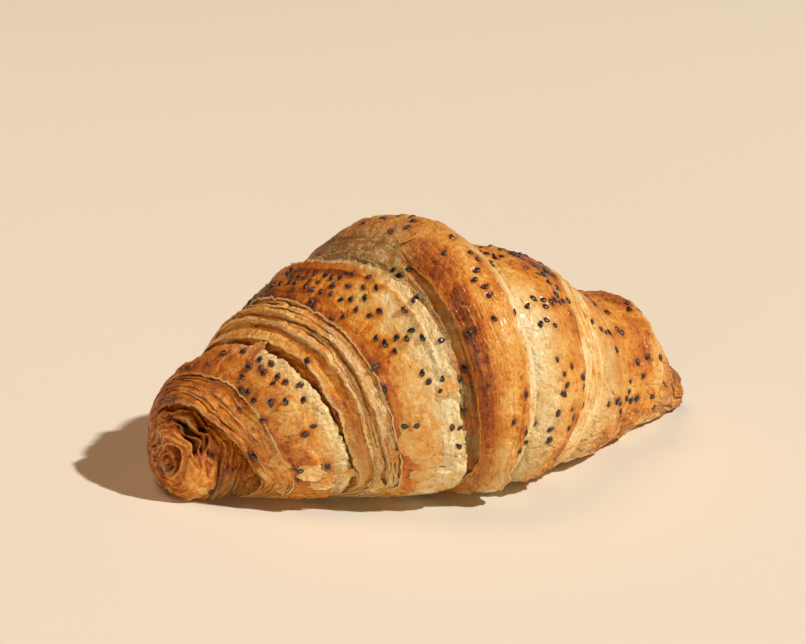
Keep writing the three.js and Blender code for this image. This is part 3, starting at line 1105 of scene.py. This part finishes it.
def baked_crust():
    material, tree = new_material("egg_washed_baked_crust")
    place = node(tree, "TexCoord", {}, out="Object")
    place = node(tree, "VectorMath", {0: place}, {1: PER_METRE}, operation="MULTIPLY")
    grain = node(tree, "Attribute", {}, out="Vector", attribute_name="grain")
    grain = node(tree, "VectorMath", {0: grain}, {1: ALONG_GRAIN}, operation="MULTIPLY")
    # on the core, the steamed layer carries painted shade on its lower side
    baked, crumb, pale, lines = (node(tree, "Attribute", {}, out="Fac", attribute_name=name)
                                 for name in ("baked", "crumb", "steamed", "lined"))
    patterns = [(place, 7, 4), (place, 2.4, 4), (place, 0.9, 4), (place, 0.35, 2), (grain, 0.8, 3)]
    bubbles, patches, freckles, flour, streaks = (
        node(tree, "TexNoise", {"Vector": where}, {"Scale": 1 / size, "Detail": detail, "Roughness": 0.6})
        for where, size, detail in patterns)
    strengths = [((streaks, -0.16, 0.16), lines), ((streaks, -0.4, 0.4), lines),
                 ((patches, -0.4, 0.4), pale)]
    streak_tone, streak_shade, pale_patches = (
        node(tree, "Math", {0: added_up(tree, part), 1: strength}, operation="MULTIPLY")
        for part, strength in strengths)

    # a tone for each of the three kinds of surface, and its colour
    tone = added_up(tree, baked, (bubbles, -0.12, 0.12), (patches, -0.07, 0.07),
                    (freckles, -0.06, 0.06), streak_tone, (patches, 0, 0.16, 0.58, 0.72))
    pale_tone = added_up(tree, (patches, 0.3, 0.8), (freckles, -0.2, 0.2), streak_shade,
                         (baked, 0.25, -0.40, 0.0, 0.8))
    crumb_tone = added_up(tree, (freckles, 0.1, 0.9), (streaks, -0.2, 0.2))
    pale_share = added_up(tree, pale, pale_patches)
    coats = [(pale_share, pale_tone, STEAMED_COLOURS), (crumb, crumb_tone, CRUMB_COLOURS)]
    base = node(tree, "ValToRGB", {0: tone}, stops=CRUST_COLOURS)
    for share, shade, stops in coats:
        over = node(tree, "ValToRGB", {0: shade}, stops=stops)
        base = node(tree, "Mix", {0: share, 6: base, 7: over}, out=2, data_type="RGBA")
    rough = added_up(tree, (crumb, 0.46, 0.80, 0.0, 1.0), (patches, -0.08, 0.08))

    # small unevenness on top of the mesh's relief, from flour dust up to bubbles 2 mm wide
    bump = node(tree, "Bump", {"Height": flour}, {"Strength": 0.5, "Distance": 0.12 * MM})
    for height, strength, depth in ((freckles, 1.0, 0.6), (streaks, 0.5, 0.5), (patches, 1.0, 1.4)):
        bump = node(tree, "Bump", {"Height": height, "Normal": bump},
                    {"Strength": strength, "Distance": depth * MM})
    shader = node(tree, "BsdfPrincipled", {"Base Color": base, "Roughness": rough, "Normal": bump},
                  {"IOR": 1.36, "Subsurface Weight": 0.05, "Subsurface Radius": (1, 0.45, 0.15),
                   "Subsurface Scale": 1.0 * MM, "Coat Weight": 0.3, "Coat Roughness": 0.26})
    node(tree, "OutputMaterial", {"Surface": shader})
    return material


crust = baked_crust()
ride_and_replace(skin, crust)
ride_and_replace(core, crust)
print("material:", crust.name)

# %% [markdown]
# ## Black sesame
#
# Sesame seeds are flat drops, two to three millimetres long, and each one lies flat in its
# dimple, turned any way and tilted a little.  Their coats are nearly black, a few of them
# brown, with a smooth thin shell that is shiny enough to glint.

# %% Seeds
SEED_LONG, SEED_WIDE, SEED_THICK = 2.5, 1.6, 0.9
SEED_RINGS, SEED_SPOKES = 11, 16
SEED_TILT = 0.22


def frame_at(column, row, reach=3):
    """Point, direction along the roll, direction around it and outward direction."""
    low, high = max(column - reach, 0), min(column + reach, len(X) - 1)
    along = unit(SKIN[high, row] - SKIN[low, row])
    around = unit(SKIN[column, (row + reach) % ROWS] - SKIN[column, row - reach])
    outward = unit(np.cross(around, along))
    return SKIN[column, row], along, around, outward


def one_seed():
    """A flat drop: blunt at one end, drawn out at the other."""
    u = np.linspace(0.03, 0.97, SEED_RINGS)[:, None]
    turn = (np.arange(SEED_SPOKES) / SEED_SPOKES * 2 * np.pi)[None, :]
    fat = np.sin(np.pi * u ** 0.8) ** 0.75
    across, upward = (np.sign(wave) * np.abs(wave) ** 0.75 for wave in (np.cos(turn), np.sin(turn)))
    return np.stack([(0.5 - u + 0 * turn) * SEED_LONG, fat * across * SEED_WIDE / 2,
                     fat * upward * SEED_THICK / 2], -1)


def core_seed_frames():
    """Two seeds beside the smooth plate of the core."""
    frames = []
    for way in unit(np.array([[-0.25, -0.94, 0.24], [-0.24, -0.88, -0.40]])):
        along = unit(np.cross(way, [0, 0, 1]))
        spot = CORE_MIDDLE + way * (reach_of_core(way) + 0.3)
        frames.append((spot, along, np.cross(way, along), way))
    return frames


def build_seeds():
    rng = np.random.default_rng(11)
    template = one_seed()
    clouds, shades = [], []
    for point, along, around, outward in [frame_at(*spot) for spot in SEED_SPOTS] + core_seed_frames():
        turn = rng.uniform(0, 2 * np.pi)
        up = unit(outward + SEED_TILT * (rng.normal() * along + rng.normal() * around))
        ahead = unit(np.cross(up, math.cos(turn) * along + math.sin(turn) * around))
        size, lift = rng.uniform(0.88, 1.12), rng.uniform(0.0, 0.25)
        cloud = point + up * lift + size * (template @ np.array([ahead, np.cross(up, ahead), up]))
        clouds.append(with_ends(cloud, cloud[[0, -1]].mean(1)))
        shades.append(np.full(len(clouds[-1]), rng.uniform()))
    seeds = one_mesh_of("sesame_seeds", clouds, ring_quads(SEED_RINGS, SEED_SPOKES),
                        end_fans(SEED_RINGS, SEED_SPOKES))
    add_numbers(seeds, shade=np.concatenate(shades))
    return seeds, len(clouds)


seeds, seed_count = build_seeds()
print(seed_count, "seeds")


# %% Coat of the seeds
SEED_COLOURS = [(0.0, "#140803"), (0.6, "#220d05"), (1.0, "#4a220c")]
SEED_PITS = 0.5       # mm, the size of the faint unevenness of a seed's coat


def sesame():
    material, tree = new_material("black_sesame_seed_coat")
    place = node(tree, "TexCoord", {}, out="Object")
    place = node(tree, "VectorMath", {0: place}, {1: PER_METRE}, operation="MULTIPLY")
    shade = node(tree, "Attribute", {}, out="Fac", attribute_name="shade")
    base = node(tree, "ValToRGB", {0: shade}, stops=SEED_COLOURS)
    pits = node(tree, "TexNoise", {"Vector": place},
                {"Scale": 1 / SEED_PITS, "Detail": 4, "Roughness": 0.6})
    bump = node(tree, "Bump", {"Height": pits}, {"Strength": 0.25, "Distance": 0.15 * MM})
    shader = node(tree, "BsdfPrincipled", {"Base Color": base, "Normal": bump},
                  {"IOR": 1.50, "Roughness": 0.45, "Specular IOR Level": 0.25, "Coat Weight": 1.0,
                   "Coat Roughness": 0.30})
    node(tree, "OutputMaterial", {"Surface": shader})
    return material


seed_coat = sesame()
ride_and_replace(seeds, seed_coat)
print("material:", seed_coat.name)

# %% [markdown]
# ## Loose flakes
#
# Where the thin outer skin has dried it breaks and lifts in flakes: curved, ragged plates half
# a millimetre thick, mostly paler than the crust around them.  Each one is a small closed
# shell that follows the skin under it and lifts away from it on one side.

# %% Flakes
FLAKE_RINGS, FLAKE_SPOKES = 10, 64
FLAKE_THICK, FLAKE_SUNK = 0.45, 0.2           # mm, and how deep its middle sits in the skin
SMALL_FLAKES, ON_THE_FRONT = 26, 16
BIG_FLAKES = [
    # along the roll, degrees, half length along, half length around, lift, browning, crumb
    (-35.5, 96, 4.6, 7.2, 1.3, 0.30, 0.1), (-60.5, 108, 2.8, 3.0, 1.8, 0.22, 0.35),
    (-24, 13, 2.4, 1.5, 1.0, 0.45, 0.1), (-33.5, 109, 3.2, 3.4, 1.2, 0.34, 0.1),
    (-57, 120, 2.6, 2.2, 1.3, 0.28, 0.3), (-66, 100, 2.6, 3.2, 1.1, 0.42, 0.1),
    (-33, 120, 3.0, 2.4, 1.3, 0.30, 0.3), (-30, 78, 2.6, 3.4, 0.8, 0.34, 0.1),
    (-67, 26, 3.0, 2.6, 0.9, 0.44, 0.1), (-64, 80, 2.4, 3.0, 0.9, 0.36, 0.1),
]


print(len(BIG_FLAKES), "big flakes and up to", SMALL_FLAKES, "small ones")


# %% Shape of one flake
def skin_height(x, degrees, wide, tall):
    """How high the higher spots of the skin stand under a patch."""
    near = (np.abs(X - x) < wide) & (np.abs(DEG - degrees) * RADIUS * math.pi / 180 < tall)
    near &= IS_RIM < 0.5
    return np.percentile(RELIEF[near], 70) if near.any() else 0.0


def one_flake(rng, x, degrees, long, tall, lift):
    """Points of one closed shell: its upper side ring by ring, then its lower side."""
    share = (np.arange(FLAKE_RINGS) / (FLAKE_RINGS - 1))[:, None]
    turn = (np.arange(FLAKE_SPOKES) / FLAKE_SPOKES * 2 * np.pi)[None, :]
    loop = np.stack([np.cos(turn), np.sin(turn), 0 * turn], -1) * 4 + rng.uniform(20, 400)
    outline = 1 + 0.34 * noise(loop, 2.6, 81) + 0.22 * noise(loop, 0.9, 82)
    corner = 1 / np.maximum(np.abs(np.cos(turn)) ** 3 + np.abs(np.sin(turn)) ** 3, 0.01) ** (1 / 3)
    a = share * outline * corner * np.cos(turn) * long
    b = share * outline * corner * np.sin(turn) * tall
    down = 0.5 + 0.5 * share * np.sin(turn) + 0.15 * np.cos(turn + rng.uniform(-1, 1)) * share
    wavy = 0.2 * noise(np.stack([a, b, 0 * a], -1) + rng.uniform(20, 400), 2.0, 83)
    high = skin_height(x, degrees, long, tall) - FLAKE_SUNK + lift * down ** 2 + wavy
    thick = FLAKE_THICK * (1 - 0.5 * share ** 4)
    place_x = x + a
    angle = np.radians(degrees) + b / RADIUS
    top = on_skin(place_x, angle, high)
    bottom = on_skin(place_x, angle, high - thick)
    rim = np.tile(ease(share, 0.72, 1.0) + 0 * turn, (2, 1))
    rim[FLAKE_RINGS:] = rim[:FLAKE_RINGS][::-1]
    return np.concatenate([top.reshape(-1, 3), bottom[::-1].reshape(-1, 3)]), rim.ravel()


# %% All the flakes
def small_flakes(rng):
    """Small ones along the torn edges and low on both sides."""
    made = []
    for i in range(SMALL_FLAKES):
        side = 1 if i < ON_THE_FRONT else -1
        x = rng.uniform(-64, -8) if side > 0 else rng.uniform(-60, 40)
        degrees = side * rng.uniform(104, 138)
        spot = nearest_spot(x, degrees)
        size = rng.uniform(0.9, 2.4), rng.uniform(0.9, 2.0), rng.uniform(0.5, 1.3)
        bare = rng.uniform(0, 0.2)
        if column_names[spot[0]] != "valley":
            made.append((x, degrees, *size, BAKE_AND_SHADE[spot] - 0.06, bare))
    return made


def build_flakes():
    rng = np.random.default_rng(5)
    clouds, baked, crumb = [], [], []
    for x, degrees, long, tall, lift, tone, bare in BIG_FLAKES + small_flakes(rng):
        cloud, rim = one_flake(rng, x, degrees, long, tall, lift)
        clouds.append(cloud)
        baked.append(tone + 0.12 * noise(cloud + 200, 2.5, 84) + 0.08 * rim)
        crumb.append(np.clip(bare + 0.3 * rim, 0, 1))
    quads = ring_quads(2 * FLAKE_RINGS, FLAKE_SPOKES)[:, ::-1]
    flakes = one_mesh_of("loose_flakes", clouds, quads)
    points = np.concatenate(clouds)
    add_numbers(flakes, baked=np.concatenate(baked), crumb=np.concatenate(crumb),
                steamed=0 * points[:, 0], lined=0 * points[:, 0] + 0.2, grain=points)
    return flakes, len(clouds)


flakes, flake_count = build_flakes()
ride_and_replace(flakes, crust)
print(flake_count, "flakes,", len(flakes.data.polygons), "faces")

# %% [markdown]
# ## Floor, light and camera
#
# The croissant lies on a warm off-white sheet of paper.  The sheet is a huge round one that
# sweeps up far outside, so that low views see paper too.  One strong lamp stands ten metres
# off, high on the right and in front, which keeps shadows short and clear-edged.  A dim
# ceiling and a low card on the left throw a warm fill back.  The camera is a long lens,
# looking down a little from the front left, which keeps the croissant's ends in proportion.

# %% Paper
SWEEP = np.array([                            # distance from the croissant and height, mm
    (2000, 0), (3000, 0), (3250, 25), (3500, 95), (3700, 200), (3850, 340), (3940, 500), (3980, 700),
])
SWEEP_SPOKES = 96


def matt_paper():
    """Uncoated paper scatters light evenly, so the floor shows shadows and never a glare."""
    material, tree = new_material("warm_matt_paper")
    place = node(tree, "TexCoord", {}, out="Object")
    fibres = node(tree, "TexNoise", {"Vector": place}, {"Scale": 1 / (4 * MM), "Detail": 3.0})
    bump = node(tree, "Bump", {"Height": fibres}, {"Strength": 0.05, "Distance": 0.2 * MM})
    shader = node(tree, "BsdfPrincipled", {"Normal": bump},
                  {"Base Color": colour("#e4dcca"), "Roughness": 0.9})
    node(tree, "OutputMaterial", {"Surface": shader})
    return material


def sheet_of_paper():
    """A round sheet that lies flat under the croissant and sweeps up far outside it."""
    turn = np.arange(SWEEP_SPOKES) / SWEEP_SPOKES * 2 * np.pi
    radius, rise = SWEEP[:, :1], SWEEP[:, 1:]
    rings = np.stack([radius * np.cos(turn), radius * np.sin(turn), rise + 0 * turn], -1)
    points = np.concatenate([rings.reshape(-1, 3), [[0, 0, 0]]])
    floor = make_mesh("floor", points + DRAWN_MIDDLE,
                      ring_quads(len(SWEEP), SWEEP_SPOKES)[:, ::-1],
                      end_fans(len(SWEEP), SWEEP_SPOKES)[:SWEEP_SPOKES, ::-1])
    floor.data.materials.append(matt_paper())


sheet_of_paper()
print("the paper sweeps up", SWEEP[1, 0] * MM, "m away")


# %% Lights and camera
CAMERA_DISTANCE = 0.640       # metres
ROOM_GLOW = 0.02              # strength of the dim warm light from all around


def aim(thing, target):
    away = Vector(target) - thing.location
    thing.rotation_euler = away.to_track_quat("-Z", "Y").to_euler()


def soft_light(name, way, distance, wide, tall, energy, shade, shape="RECTANGLE"):
    """A flat light of a size in metres and a power in watts, aimed at the croissant."""
    light = bpy.data.lights.new(name, "AREA")
    light.shape = shape
    light.size = wide
    if shape == "RECTANGLE":
        light.size_y = tall
    light.energy = energy
    light.color = colour(shade)[:3]
    thing = bpy.data.objects.new(name, light)
    bpy.context.collection.objects.link(thing)
    thing.location = unit(np.array(way)) * distance
    aim(thing, (0, 0, 0.03))


def surroundings():
    world = bpy.data.worlds.new("soft_room")
    bpy.context.scene.world = world
    world.use_nodes = True
    back = world.node_tree.nodes["Background"]
    back.inputs["Color"].default_value = colour("#ffbf8e")
    back.inputs["Strength"].default_value = ROOM_GLOW


def camera():
    azimuth, elevation = math.radians(-31), math.radians(17)
    target = (np.array([-22.8, 0, 47.5]) - DRAWN_MIDDLE) * MM
    back = np.array([math.sin(azimuth) * math.cos(elevation),
                     -math.cos(azimuth) * math.cos(elevation), math.sin(elevation)])
    data = bpy.data.cameras.new("camera")
    data.lens = 100
    data.sensor_width = 36
    data.clip_start = 0.01
    data.clip_end = 100
    eye = bpy.data.objects.new("camera", data)
    bpy.context.collection.objects.link(eye)
    eye.location = target + back * CAMERA_DISTANCE
    aim(eye, target)
    bpy.context.scene.camera = eye


soft_light("key_lamp", (0.66, -0.80, 1.0), 10.0, 0.35, 0.35, 1130, "#fffdf8", "DISK")
soft_light("ceiling", (-0.20, 0.30, 1.0), 2.5, 1.2, 1.2, 20, "#ffc89e")
soft_light("white_card", (-0.75, -0.66, 0.07), 2.0, 1.3, 0.30, 16, "#ffe2bd")
surroundings()
camera()
bpy.context.scene.view_settings.view_transform = "Standard"
print("camera at", [round(v, 3) for v in bpy.context.scene.camera.location])
